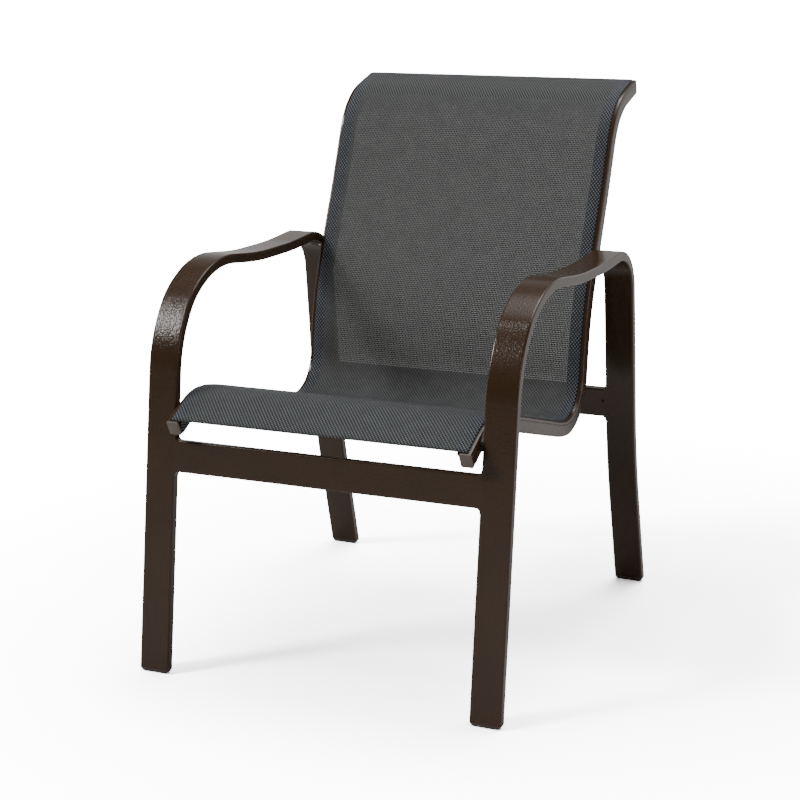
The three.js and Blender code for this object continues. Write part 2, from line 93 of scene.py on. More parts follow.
# Sling rails, each with a slot over a round pocket and a drip groove on the outer face, in mm
RAIL_INNER = 231
RAIL_OUTER = 251
RAIL_DEPTH = 25
RAIL_WALL = 1.8
RAIL_CORNER = 2.5
RAIL_LEAD = 0.6
SLOT_CENTRE = 243.5
SLOT_HALF = 1.3
SLOT_LIP = 0.4
POCKET_DEPTH = 6.1
POCKET_RADIUS = 3.8
POCKET_STEPS = 14
GROOVE_TOP = 4.8
GROOVE_WIDTH = 1.6
GROOVE_SLOPE = 0.5
GROOVE_DEPTH = 0.7
ACCESS_RADIUS = 5.4
ACCESS_OVERRUN = 2

# Rail caps, in mm: thickness, rounded edge and inner corner of each, and the plug inside the rail
CAP_SIZES = {"front": (2.4, 0.8, 3.4), "top": (1.6, 0.6, 2.6)}
CAP_CORNER = 2.6
CAP_GAP = 0.2
CAP_PLUG = (15.4, 10.8, 12)
CAP_PLUG_HEIGHT = -17.3
CAP_PLUG_SINK = 5.5
CAP_PLUG_EDGE = 0.8

# Foot glides, in mm: how far each ring of the sole lies below the last and within it, and the plug
GLIDE_RINGS = [(0.6, 0), (3.4, 2.0), (2.4, 2.2), (0.6, 0.9)]
GLIDE_DEPTH_SHARE = 0.7
GLIDE_PLUG_NARROWER = 4.4
GLIDE_PLUG_THINNER = 4.6
GLIDE_PLUG_HEIGHT = 22
GLIDE_PLUG_RISE = 9
GLIDE_PLUG_EDGE = 1.5

# Fasteners, in mm. The insert's points and the bolt's rings are (radius, distance), and the rings of the
# bolt's socket also say how many sides they have.
BOLT_CLEARANCE = 3.3
WASHER_RADIUS = 5.2
WASHER_THICKNESS = 1.2
WASHER_EDGE = 0.2
SPACER_RADIUS = 7
SPACER_THICKNESS = 4
SPACER_EDGE = 0.5
INSERT_OUTLINE = [
    (BOLT_CLEARANCE, 0), (4.2, 0), (4.2, 4.8), (5.2, 5.2),
    (5.2, 8.4), (4.2, 8.8), (4.2, 13), (BOLT_CLEARANCE, 13),
]
BOLT_HEAD_HEIGHT = 3.2
SOCKET_RINGS = [(2.1, 2, 6), (2.3, 0, 6)]
BOLT_RINGS = [
    (4.5, 0), (5, 0.5), (5, 3), (4.8, BOLT_HEAD_HEIGHT), (3, BOLT_HEAD_HEIGHT), (3, 20.6), (2.5, 21.2),
]

# The sling, in mm, with doubled strips at its sides and its ends
SLING_MARGIN = 2
CLOTH_THICKNESS = 0.9
CLOTH_STEP = 12
HEM_EDGE = 223
HEM_HEIGHT = 0.8
HEM_GAP = 0.5
TOP_HEM = 88
FRONT_HEM_END = 24
TAIL_END = 95
TAIL_STEP = 4

# Profiles of the sling's edge as (distance out, height) in mm: the sheet and the side hem from the slot's
# middle, and the hem's tail from the rail's inner face
SHEET_PROFILE = [(0.55, -2.4), (0.5, 0.6), (0.1, 1.45), (-0.8, 1.85)]
HEM_PROFILE = [(-0.55, -2.4), (-0.6, 0.2), (-1.4, HEM_HEIGHT)]
TAIL_PROFILE = [(-0.8, 0.6), (-2.8, -0.4), (-3.6, -2.6), (-2.6, -6.5), (-1, -10), (-0.7, -24)]

# Stitches, in mm: half their length, width and height, their pitch, and where the seams run
STITCH_SIZE = (1.5, 0.42, 0.3)
STITCH_PITCH = 5
SEAM_HEIGHT = 2.3
SIDE_SEAM_INSET = 4
SIDE_SEAM_START = 8
SIDE_SEAM_END = 6
END_SEAM_INSET = 5
END_SEAM_HALF = 236


def unit(a, b):
    return (b - a).normalized()


def bends(corners, radii):
    """The straights and round bends along a row of corners, in metres."""
    points = [Vector(c) * MM for c in corners]
    directions = [unit(a, b) for a, b in zip(points, points[1:])]
    lengths = [(b - a).length for a, b in zip(points, points[1:])]
    angles = [math.atan2(a.x * b.y - a.y * b.x, a.dot(b)) for a, b in zip(directions, directions[1:])]
    reaches = [0, *(r * MM * math.tan(abs(t) / 2) for r, t in zip(radii, angles)), 0]
    shares = [min(1, l / (a + b)) for l, a, b in zip(lengths, reaches, reaches[1:])]
    place, moves = points[0], []
    for i, turn in enumerate(angles):
        reach = reaches[i + 1] * min(shares[i], shares[i + 1])
        entry = points[i + 1] - directions[i] * reach
        side = math.copysign(reach / math.tan(abs(turn) / 2), turn)
        centre = entry + Vector((-directions[i].y, directions[i].x)) * side
        moves.append(("run", entry - place))
        moves.append(("turn", centre, turn))
        place = points[i + 1] + directions[i + 1] * reach
    moves.append(("run", points[-1] - place))
    return moves


class Path:
    """An outline as small moves, with the place and slope at each distance along it."""

    def __init__(self, corners, radii, lift, run_step=None):
        self.start = Vector(corners[0]) * MM + lift
        place, angle, length = self.start.copy(), None, 0.0
        self.moves, self.stations = [], []
        for move in bends(corners, radii):
            if move[0] == "run":
                if move[1].length < SHORTEST_RUN:
                    continue
                angle = math.atan2(move[1].y, move[1].x)
                if not self.stations:
                    self.stations.append((0.0, place.copy(), angle))
                steps = 1 if run_step is None else max(1, math.ceil(move[1].length / run_step))
                for _ in range(steps):
                    place = place + move[1] / steps
                    length += move[1].length / steps
                    self.moves.append(("run", move[1] / steps, length))
                    self.stations.append((length, place.copy(), angle))
            else:
                centre, turn = move[1] + lift, move[2]
                steps = max(2, math.ceil(abs(turn) / math.radians(BEND_STEP)))
                radius = (place - centre).length
                for _ in range(steps):
                    place = centre + Matrix.Rotation(turn / steps, 2) @ (place - centre)
                    angle += turn / steps
                    length += radius * abs(turn) / steps
                    self.moves.append(("turn", centre, turn / steps, length))
                    self.stations.append((length, place.copy(), angle))
        self.length = length

    def at(self, distance, height=0.0):
        """The point at a distance along the outline, raised to its left side, and the slope there."""
        for (s0, p0, a0), (s1, p1, a1) in zip(self.stations, self.stations[1:]):
            if distance <= s1 + DISTANCE_ERROR:
                break
        share = (distance - s0) / max(s1 - s0, DISTANCE_ERROR)
        angle = a0 + (a1 - a0) * share
        point = p0.lerp(p1, share) + Vector((-math.sin(angle), math.cos(angle))) * height
        return point, angle

    def at_height(self, height, front):
        """The outline's place at a height above the floor, and its slope there."""
        found = []
        for (_, p0, a0), (_, p1, a1) in zip(self.stations, self.stations[1:]):
            if (p0.y - height) * (p1.y - height) <= 0 and p0.y != p1.y:
                share = (height - p0.y) / (p1.y - p0.y)
                found.append((p0.lerp(p1, share), a0 + (a1 - a0) * share))
        return (min if front else max)(found, key=lambda f: f[0].x)


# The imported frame's origin is under the middle of its box, so the outlines slide along Y to meet it
loose = Path(FRAME_CORNERS, FRAME_RADII, Vector((0, 0)))
lift = Vector((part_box("front_foot_glide_left")[0][1] - loose.at_height(SOLE_HEIGHT * MM, True)[0].x, 0))
frame_path = Path(FRAME_CORNERS, FRAME_RADII, lift)
rail_path = Path(RAIL_CORNERS, RAIL_RADII, lift)
cloth_path = Path(RAIL_CORNERS, RAIL_RADII, lift, run_step=CLOTH_STEP * MM)
SLING_START = SLING_MARGIN * MM
SLING_STOP = rail_path.length - SLING_MARGIN * MM


def node_middle(node):
    low, high = (Vector(corner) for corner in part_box(node))
    return (low + high) / 2


# The Mix node's colour sockets go by number, since its other sockets have the same names
MIX_COLOURS = 6, 7
MIX_RESULT = 2
# Noise lies mostly between these values
NOISE_SPAN = 0.3, 0.7


class Value:
    """A number that changes over a surface. Arithmetic on it adds Math nodes."""

    def __init__(self, finish, socket):
        self.finish, self.socket = finish, socket

    def math(self, operation, *others):
        inputs = dict(enumerate((self, *others)))
        return self.finish.node("ShaderNodeMath", {"operation": operation}, inputs).value(0)

    def __add__(self, other):
        return self.math("ADD", other)

    __radd__ = __add__

    def __mul__(self, other):
        return self.math("MULTIPLY", other)

    __rmul__ = __mul__

    def __sub__(self, other):
        return self.math("SUBTRACT", other)

    def __rsub__(self, other):
        return self * -1 + other

    def __truediv__(self, other):
        return self.math("DIVIDE", other)

    def __pow__(self, other):
        return self.math("POWER", other)

    def __lt__(self, other):
        return self.math("LESS_THAN", other)

    def __gt__(self, other):
        return self.math("GREATER_THAN", other)


class Node:
    """A shader node with its outputs by name or number."""

    def __init__(self, finish, node):
        self.finish, self.node = finish, node

    def __getitem__(self, key):
        return self.node.outputs[key]

    def value(self, key):
        return Value(self.finish, self.node.outputs[key])


class Finish:
    """A surface finish, made of nodes."""

    def __init__(self, name, owner=None):
        self.material = owner or bpy.data.materials.new(name)
        self.material.use_nodes = True
        self.tree = self.material.node_tree
        self.tree.nodes.clear()

    def node(self, kind, settings=None, inputs=None):
        node = self.tree.nodes.new(kind)
        for key, value in (settings or {}).items():
            setattr(node, key, value)
        for key, value in (inputs or {}).items():
            if isinstance(value, Value):
                value = value.socket
            if isinstance(value, bpy.types.NodeSocket):
                self.tree.links.new(value, node.inputs[key])
            else:
                node.inputs[key].default_value = value
        return Node(self, node)

    def place(self):
        return self.node("ShaderNodeTexCoord")["Object"]

    def noise(self, scale, detail=2, roughness=0.5, vector=None):
        vector = vector or self.place()
        inputs = {"Scale": scale, "Detail": detail, "Roughness": roughness, "Vector": vector}
        return self.node("ShaderNodeTexNoise", {}, inputs).value("Fac")

    def spread(self, value, low, high, to_low=0.0, to_high=1.0):
        inputs = {"Value": value, "From Min": low, "From Max": high, "To Min": to_low, "To Max": to_high}
        return self.node("ShaderNodeMapRange", {"clamp": True}, inputs).value(0)

    def blend(self, factor, first, second):
        node = self.node("ShaderNodeMix", {"data_type": "RGBA"}, {"Factor": factor})
        for key, colour in zip(MIX_COLOURS, (first, second)):
            if isinstance(colour, bpy.types.NodeSocket):
                self.tree.links.new(colour, node.node.inputs[key])
            else:
                node.node.inputs[key].default_value = (*colour, 1)
        return node[MIX_RESULT]

    def bump(self, height, strength, distance):
        inputs = {"Height": height, "Strength": strength, "Distance": distance * MM}
        return self.node("ShaderNodeBump", {}, inputs)["Normal"]

    def surface(self, inputs):
        shader = self.node("ShaderNodeBsdfPrincipled", {}, inputs)
        self.node("ShaderNodeOutputMaterial", {}, {"Surface": shader["BSDF"]})
        return self.material


COAT_BROWNS = (0.032, 0.016, 0.007), (0.0385, 0.0195, 0.009)
ZINC_GREYS = (0.5, 0.51, 0.52), (0.66, 0.66, 0.64)
THREAD_GREYS = (0.012, 0.013, 0.015), (0.05, 0.052, 0.056)
# Where the coat thickens toward the arms' front bends, in metres: by height, by depth and from side to side
BEND_HEIGHTS = 0.46, 0.53
BEND_DEPTHS = -0.26, -0.2
BEND_SIDES = -0.2, 0.2


def powder_coat():
    """Dark bronze powder coat: a fine pebbled skin with a satin shine."""
    finish = Finish("bronze_powder_coat")
    pebbles = finish.noise(scale=350, roughness=0.55)
    grit = finish.noise(scale=1300, roughness=0.6)
    cloud = finish.noise(scale=14, detail=3)
    tone = finish.spread(pebbles * 0.3 + cloud * 0.7, 0.35, 0.65)
    # The coat ripples more where it lies thick, on the front bends of the arms, and most on the right one
    spot = finish.node("ShaderNodeSeparateXYZ", {}, {"Vector": finish.place()})
    thick = finish.spread(spot.value("Z"), *BEND_HEIGHTS)
    thick = thick * finish.spread(spot.value("Y"), *BEND_DEPTHS, 1, 0)
    thick = thick * finish.spread(spot.value("X"), *BEND_SIDES, 1, 0.3)
    return finish.surface({
        "Base Color": finish.blend(tone, *COAT_BROWNS),
        "Roughness": finish.spread(grit * 0.4 + pebbles * 0.6, *NOISE_SPAN, 0.14, 0.24),
        "Specular IOR Level": 0.36,
        "Normal": finish.bump((pebbles + grit * 0.06) * (thick * 2.1 + 0.5), strength=0.8, distance=0.32),
    })


def moulded(name, dark, light, roughness):
    """Moulded plastic with a faint grain."""
    finish = Finish(name)
    grain = finish.noise(scale=1400, roughness=0.6)
    cloud = finish.noise(scale=40)
    return finish.surface({
        "Base Color": finish.blend(finish.spread(grain * 0.5 + cloud * 0.5, *NOISE_SPAN), dark, light),
        "Roughness": finish.spread(cloud, *NOISE_SPAN, roughness - 0.05, roughness + 0.05),
        "Normal": finish.bump(grain, strength=0.3, distance=0.1),
    })


def zinc_steel():
    """Zinc-plated steel, a little clouded."""
    finish = Finish("zinc_plated_steel")
    cloud = finish.noise(scale=180, detail=3)
    scratches = finish.noise(scale=2500)
    return finish.surface({
        "Base Color": finish.blend(finish.spread(cloud, *NOISE_SPAN), *ZINC_GREYS),
        "Metallic": 1.0,
        "Roughness": finish.spread(scratches, *NOISE_SPAN, 0.24, 0.4),
        "Normal": finish.bump(cloud, strength=0.15, distance=0.05),
    })


# The weave, in mm: a block's width and length, how far out on the flat sheet the side strips begin, and
# where the seat passes into the back. A hole begins at these shares of a block from its middle.
WARP_PITCH = 2.75
WEFT_PITCH = 3.4
STRIP_EDGE = HEM_EDGE + 2
SEAT_ENDS = 420, 500
HOLE_SHARES = 0.31, 0.37

# Yarn colours, of the weft and the warp, or of the dark and the light lines of the twill. The back and the
# seat
# are one cloth: the difference between their colours is painted light, for how differently each is lit
YARN_SHADE = (0.004, 0.0044, 0.005)
BACK_YARNS_AS_LIT = (0.061, 0.0636, 0.0615), (0.14, 0.1452, 0.1415)
SEAT_YARNS_AS_LIT = (0.032, 0.0365, 0.038), (0.245, 0.2615, 0.2655)
STRIP_YARNS = (0.0082, 0.0098, 0.013), (0.276, 0.302, 0.342)
TOP_YARNS = (0.0006, 0.0008, 0.0009), (0.1, 0.1038, 0.1046)

# How much of the light in the back's rows depends on the row and on the yarns' height, how light the
# diagonals are, and how far flecks and clouds change either. The light rows are painted light, for the
# backdrop seen through the rows of holes, and the yarns' height paints shade into their hollows
PAINTED_ROW_LIGHT = 0.4
YARN_HOLLOW_SHADE = 0.7
DIAGONAL_LIGHT = 0.62
FLECK_LIGHTS = 0.8, 1.15
CLOUD_LIGHTS = 0.88, 1.1

# The twill at the top: half turns to a block across and along it, and what its lines, the blocks where
# the warp is up and the ground add to its tone
TWILL_TURNS = 1.16, 0.9
TWILL_LINES = 0.44
TWILL_BLOCKS = 0.2
TWILL_GROUND = 0.38


def arched(along_it, across_it):
    """The height of a block's two yarns, side by side: round across them, and arched along them."""
    yarns = (across_it * (2 * math.pi)).math("SINE").math("ABSOLUTE")
    return yarns ** 0.6 * (along_it * math.pi).math("SINE") ** 0.7


def woven_mesh():
    """Coated yarns in a basket weave: pairs pass over and under other pairs, with a hole at each corner."""
    finish = Finish("woven_sling_mesh")
    flat = finish.node("ShaderNodeUVMap", {"uv_map": "cloth"})["UV"]
    split = finish.node("ShaderNodeSeparateXYZ", {}, {"Vector": flat})
    across, along = split.value("X") / (WARP_PITCH * MM), split.value("Y") / (WEFT_PITCH * MM)
    warp_up = (across.math("FLOOR") + along.math("FLOOR")).math("FLOORED_MODULO", 2) > 0.5
    u, v = across.math("FRACT"), along.math("FRACT")
    height = arched(v, u) * warp_up + arched(u, v) * (1 - warp_up)
    edge_u, edge_v = (u - 0.5).math("ABSOLUTE"), (v - 0.5).math("ABSOLUTE")
    hole = (edge_u > HOLE_SHARES[0]) * (edge_v > HOLE_SHARES[1])
    fleck = finish.noise(scale=260, vector=flat)
    cloud = finish.noise(scale=34, detail=3, vector=flat)
    strip = split.value("X").math("ABSOLUTE") > STRIP_EDGE * MM
    seat = finish.spread(split.value("Y"), SEAT_ENDS[0] * MM, SEAT_ENDS[1] * MM, 1, 0)
    # Painted light and shade: the back shows its rows as light lines, for the backdrop seen through the
    # holes, and the seat and the side strips show their diagonals; on both the yarns' hollows get painted
    # shade
    plain = seat.math("MAXIMUM", strip)
    weave_and_painted_light = (v * math.pi).math("COSINE").math("ABSOLUTE") ** 2 * PAINTED_ROW_LIGHT + (1 - PAINTED_ROW_LIGHT)
    weave_and_painted_light = weave_and_painted_light * (height * YARN_HOLLOW_SHADE + (1 - YARN_HOLLOW_SHADE))
    weave_and_painted_light = weave_and_painted_light * (1 - plain) + height * plain * DIAGONAL_LIGHT
    lit = weave_and_painted_light * finish.spread(fleck, *NOISE_SPAN, *FLECK_LIGHTS)
    lit = lit * finish.spread(cloud, *NOISE_SPAN, *CLOUD_LIGHTS)
    # Painted light: the seat's yarn colours differ from the back's only for how the light falls on each
    tint = finish.blend(seat, finish.blend(warp_up, *BACK_YARNS_AS_LIT), finish.blend(warp_up, *SEAT_YARNS_AS_LIT))
    # The doubled side strips are bluer, and the doubled top shows a twill between them
    tint = finish.blend(strip, tint, finish.blend(warp_up, *STRIP_YARNS))
    top = (split.value("Y") > SLING_STOP - TOP_HEM * MM) * (1 - strip)
    twill = ((across * TWILL_TURNS[0] - along * TWILL_TURNS[1]) * math.pi).math("SINE") * TWILL_LINES
    twill = twill + warp_up * TWILL_BLOCKS + TWILL_GROUND
    colour = finish.blend(top, finish.blend(lit, YARN_SHADE, tint), finish.blend(twill, *TOP_YARNS))
    return finish.surface({
        "Base Color": colour,
        "Roughness": finish.spread(fleck, *NOISE_SPAN, 0.5, 0.66),
        "Specular IOR Level": 0.2,
        "Alpha": 1 - hole,
        "Normal": finish.bump(height, strength=0.6, distance=0.45),
    })


def sewing_thread():
    """Dark bonded thread with a twist."""
    finish = Finish("sewing_thread")
    twist = finish.noise(scale=3800)
    return finish.surface({
        "Base Color": finish.blend(twist, *THREAD_GREYS),
        "Roughness": 0.55,
        "Normal": finish.bump(twist, strength=0.4, distance=0.1),
    })


coat = powder_coat()
mesh_cloth = woven_mesh()
thread = sewing_thread()
cap_plastic = moulded("cap_plastic", (0.09, 0.068, 0.054), (0.12, 0.094, 0.077), roughness=0.45)
glide_plastic = moulded("glide_plastic", (0.046, 0.031, 0.022), (0.064, 0.045, 0.034), roughness=0.42)
spacer_plastic = moulded("spacer_plastic", (0.008, 0.008, 0.008), (0.016, 0.016, 0.016), roughness=0.5)
rod_plastic = moulded("spline_rod_plastic", (0.55, 0.53, 0.47), (0.68, 0.66, 0.6), roughness=0.45)
steel = zinc_steel()


def piece(name, bm, material, slot, replaces=(), smooth=SMOOTH_ANGLE):
    """A finished piece that rides on the chair and stands for the CAD nodes that it replaces."""
    mesh = bpy.data.meshes.new(name)
    bm.to_mesh(mesh)
    bm.free()
    mesh.materials.append(material)
    mesh.shade_smooth()
    mesh.set_sharp_from_angle(angle=math.radians(smooth))
    obj = bpy.data.objects.new(name, mesh)
    bpy.context.scene.collection.objects.link(obj)
    if slot is not None:
        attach(obj, "root")
        if replaces:
            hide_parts(*replaces)
    return obj


def on_side(bm, side):
    """Mirrors a piece made for the left side if it belongs on the right, and turns its faces outwards."""
    if side < 0:
        bmesh.ops.scale(bm, vec=(-1, 1, 1), verts=bm.verts)
    bmesh.ops.recalc_face_normals(bm, faces=bm.faces)


def close_ends(bm):
    bmesh.ops.holes_fill(bm, edges=[e for e in bm.edges if e.is_boundary], sides=0)


def heading(angle):
    """The way a slope in the side view points."""
    return Vector((0, math.cos(angle), math.sin(angle)))


def square_to(angle):
    """The way a slope's left side faces."""
    return Vector((0, -math.sin(angle), math.cos(angle)))


def ring_of(bm, points):
    """A closed ring of edges through points."""
    verts = [bm.verts.new(p) for p in points]
    return [bm.edges.new((a, b)) for a, b in zip(verts, verts[1:] + verts[:1])]


def chain_of(bm, points):
    """An open chain of edges through points."""
    verts = [bm.verts.new(p) for p in points]
    return [bm.edges.new((a, b)) for a, b in zip(verts, verts[1:])]


def pulled(bm, edges):
    """New edges drawn off a ring or chain, still in the same place."""
    made = bmesh.ops.extrude_edge_only(bm, edges=edges)["geom"]
    verts = [g for g in made if isinstance(g, bmesh.types.BMVert)]
    fresh = set(verts)
    return [g for g in made if isinstance(g, bmesh.types.BMEdge) and set(g.verts) <= fresh], verts


def drawn(bm, edges, by):
    """New edges drawn off a ring or chain and moved."""
    edges, verts = pulled(bm, edges)
    bmesh.ops.translate(bm, vec=by, verts=verts)
    return edges, verts


def carry(bm, edges, path, skip=0.0, stop=None, along=None):
    """Carries edges along a path. The layer along keeps the distance travelled on each vertex."""
    travelled = 0.0
    stop = path.length if stop is None else stop
    if along is not None:
        for vert in {v for e in edges for v in e.verts}:
            vert[along] = 0.0
    for move in path.moves:
        last = travelled
        travelled = move[-1]
        if travelled <= skip + DISTANCE_ERROR or last >= stop - DISTANCE_ERROR:
            continue
        share = (min(travelled, stop) - max(last, skip)) / (travelled - last)
        edges, verts = pulled(bm, edges)
        if move[0] == "run":
            bmesh.ops.translate(bm, vec=(0, *(move[1] * share)), verts=verts)
        else:
            turn = Matrix.Rotation(move[2] * share, 3, "X")
            bmesh.ops.rotate(bm, cent=(0, *move[1]), matrix=turn, verts=verts)
        if along is not None:
            for vert in verts:
                vert[along] = min(travelled, stop)
    return edges


def across_path(path, distance, points):
    """Points of a section, each (x, height over the path) in mm, set square to the path."""
    spots = [(x, path.at(distance, height * MM)[0]) for x, height in points]
    return [(x * MM, spot.x, spot.y) for x, spot in spots]


def rounded_face(bm, points, radii, segments):
    """A flat face with each corner rounded by its own radius."""
    face = bm.faces.new([bm.verts.new(p) for p in points])
    for vert, radius in zip(list(face.verts), radii):
        bmesh.ops.bevel(bm, geom=[vert], offset=radius * MM, offset_type="OFFSET", segments=segments,
                        profile=0.5, affect="VERTICES", material=-1)


def rounded_edges(bm, edges, size, segments):
    bmesh.ops.bevel(bm, geom=edges, offset=size * MM, offset_type="OFFSET", segments=segments,
                    profile=0.5, affect="EDGES", material=-1)


def plug(bm, middle, size, edge, root=0.0, lean=0.0):
    """A block with rounded edges. It leans along Y as it rises over its root."""
    size = Matrix.Diagonal((*(length * MM for length in size), 1))
    verts = bmesh.ops.create_cube(bm, size=1, matrix=Matrix.Translation(middle) @ size)["verts"]
    for vert in verts:
        vert.co.y += (vert.co.z - root) * lean
    rounded_edges(bm, list({e for v in verts for e in v.link_edges}), edge, segments=2)


def bored(obj, cutters):
    """The piece with the cutters' shapes taken out of it."""
    for cutter in cutters:
        change = obj.modifiers.new("bore", "BOOLEAN")
        change.object = cutter
        change.operation = "DIFFERENCE"
        change.solver = "EXACT"
    baked = bpy.data.meshes.new_from_object(obj.evaluated_get(bpy.context.evaluated_depsgraph_get()))
    old = obj.data
    obj.modifiers.clear()
    obj.data = baked
    baked.name = old.name
    baked.shade_smooth()
    baked.set_sharp_from_angle(angle=math.radians(SMOOTH_ANGLE))
    bpy.data.meshes.remove(old)
    for cutter in cutters:
        bpy.data.objects.remove(cutter)
    return obj


def drill(middle, radius, length, axis):
    """A round cutter along an axis."""
    bm = bmesh.new()
    turn = Vector((0, 0, 1)).rotation_difference(Vector(axis)).to_matrix().to_4x4()
    bmesh.ops.create_cone(bm, cap_ends=True, segments=ROUND_SIDES, radius1=radius * MM,
                          radius2=radius * MM, depth=length * MM, matrix=Matrix.Translation(middle) @ turn)
    return piece("cutter", bm, coat, None)


def quarter_round(cx, cy, radius, start, count=4, lead=0.0):
    """A quarter circle of points. Lead-in and lead-out points keep the flats beside it flat."""
    turns = [start + math.pi / 2 * i / count for i in range(count + 1)]
    points = [(cx + radius * math.cos(a), cy + radius * math.sin(a)) for a in turns]
    if lead:
        (xa, ya), (xb, yb), a, b = points[0], points[-1], turns[0], turns[-1]
        points.insert(0, (xa + lead * math.sin(a), ya - lead * math.cos(a)))
        points.append((xb - lead * math.sin(b), yb + lead * math.cos(b)))
    return points


def bar_section(x0, x1, y0, y1, count):
    """The flat tube's outline: a rectangle with round corners."""
    r = BAR_CORNER
    middles = [(x1 - r, y1 - r), (x0 + r, y1 - r), (x0 + r, y0 + r), (x1 - r, y0 + r)]
    return [point for i, (x, y) in enumerate(middles)
            for point in quarter_round(x, y, r, i * math.pi / 2, count, BAR_LEAD)]


# Arm frames: one flat tube bent into front leg, arm and rear leg
def arm_frame(word, side):
    bm = bmesh.new()
    section = bar_section(FRAME_INNER, FRAME_INNER + BAR_WIDTH, -BAR_THICKNESS, 0, count=6)
    edges = ring_of(bm, across_path(frame_path, 0, section))
    # The tube starts below the floor and runs out below it, and is then cut off level over the soles
    first, last = (heading(frame_path.stations[end][2]) * LEG_OVERRUN * MM for end in (0, -1))
    bmesh.ops.translate(bm, vec=-first, verts=bm.verts)
    edges, _ = drawn(bm, edges, first)
    drawn(bm, carry(bm, edges, frame_path), last)
    bmesh.ops.bisect_plane(bm, geom=bm.verts[:] + bm.edges[:] + bm.faces[:],
                           plane_co=(0, 0, SOLE_HEIGHT * MM), plane_no=(0, 0, 1), clear_inner=True)
    close_ends(bm)
    on_side(bm, side)
    return piece(f"arm_bar_{word}", bm, coat, "frame_coat", [f"arm_frame_{word}"])


# Stretchers: straight flat tubes, drawn out to a fillet where they are welded to the legs
def stretcher(name, node, point, tilt, front_face):
    bm = bmesh.new()
    half = BAR_WIDTH / 2
    outline = bar_section(front_face, front_face + BAR_THICKNESS, -half, half, count=5)
    turns = [math.pi / 2 * i / FILLET_STEPS for i in range(FILLET_STEPS + 1)]
    # Places across the chair, each with how far the fillet swells the bar there
    swells = [(FRAME_INNER - WELD_FILLET * (1 - math.cos(a)), WELD_FILLET * (1 - math.sin(a)))
              for a in turns]
    weld_end, bar_start = FRAME_INNER + BAR_CORNER + WELD_SINK, swells[-1][0] - WELD_RUNOUT
    stations = [(weld_end, WELD_FILLET), *swells, (bar_start, 0)]
    stations += [(-x, swell) for x, swell in reversed(stations)]
    x, swell = stations[0]
    edges = ring_of(bm, [(x * MM, y * MM, (z + math.copysign(swell, z)) * MM) for y, z in outline])
    for (x0, swell0), (x1, swell1) in zip(stations, stations[1:]):
        edges, verts = drawn(bm, edges, ((x1 - x0) * MM, 0, 0))
        for way in (1, -1):
            part = [v for v in verts if v.co.z * way > 0]
            bmesh.ops.translate(bm, vec=(0, 0, way * (swell1 - swell0) * MM), verts=part)
    close_ends(bm)
    turn = Matrix.Rotation(tilt, 4, "X")
    bmesh.ops.transform(bm, matrix=Matrix.Translation((0, point.x, point.y)) @ turn, verts=bm.verts)
    bmesh.ops.recalc_face_normals(bm, faces=bm.faces)
    return piece(name, bm, coat, "frame_coat", [node])


# Sling rails: a spline slot opens on the sitter's side over a round pocket
def keyhole():
    """Points round the pocket, from one side of the slot to the other."""
    neck = math.asin(SLOT_HALF / POCKET_RADIUS)
    turns = [neck + (2 * math.pi - 2 * neck) * i / POCKET_STEPS for i in range(POCKET_STEPS + 1)]
    return [(SLOT_CENTRE + POCKET_RADIUS * math.sin(a), POCKET_RADIUS * math.cos(a) - POCKET_DEPTH)
            for a in turns]


def rail_section():
    r, groove_face, groove_foot = RAIL_CORNER, RAIL_OUTER - GROOVE_DEPTH, GROOVE_TOP + GROOVE_WIDTH
    return [
        (SLOT_CENTRE + SLOT_HALF + SLOT_LIP, 0), (SLOT_CENTRE + SLOT_HALF, -SLOT_LIP),
        *keyhole(),
        (SLOT_CENTRE - SLOT_HALF, -SLOT_LIP), (SLOT_CENTRE - SLOT_HALF - SLOT_LIP, 0),
        *quarter_round(RAIL_INNER + r, -r, r, math.pi / 2, lead=RAIL_LEAD),
        *quarter_round(RAIL_INNER + r, -RAIL_DEPTH + r, r, math.pi, lead=RAIL_LEAD),
        *quarter_round(RAIL_OUTER - r, -RAIL_DEPTH + r, r, 1.5 * math.pi, lead=RAIL_LEAD),
        (RAIL_OUTER, -groove_foot), (groove_face, -groove_foot + GROOVE_SLOPE),
        (groove_face, -GROOVE_TOP - GROOVE_SLOPE), (RAIL_OUTER, -GROOVE_TOP),
        *quarter_round(RAIL_OUTER - r, -r, r, 0),
    ]


def sling_rail(word, side):
    bm = bmesh.new()
    carry(bm, ring_of(bm, across_path(rail_path, 0, rail_section())), rail_path)
    close_ends(bm)
    on_side(bm, side)
    rail = piece(f"rail_{word}", bm, coat, "frame_coat", [f"sling_rail_{word}"])
    # A round opening through the inner walls lets each bolt in
    reach = RAIL_OUTER - RAIL_WALL - RAIL_INNER + ACCESS_OVERRUN
    cutters = []
    for end in ENDS:
        head = node_middle(f"{end}_rail_washer_{word}")
        middle = Vector((side * (RAIL_OUTER - RAIL_WALL - reach / 2) * MM, head.y, head.z))
        cutters.append(drill(middle, ACCESS_RADIUS, reach, (1, 0, 0)))
    return bored(rail, cutters)


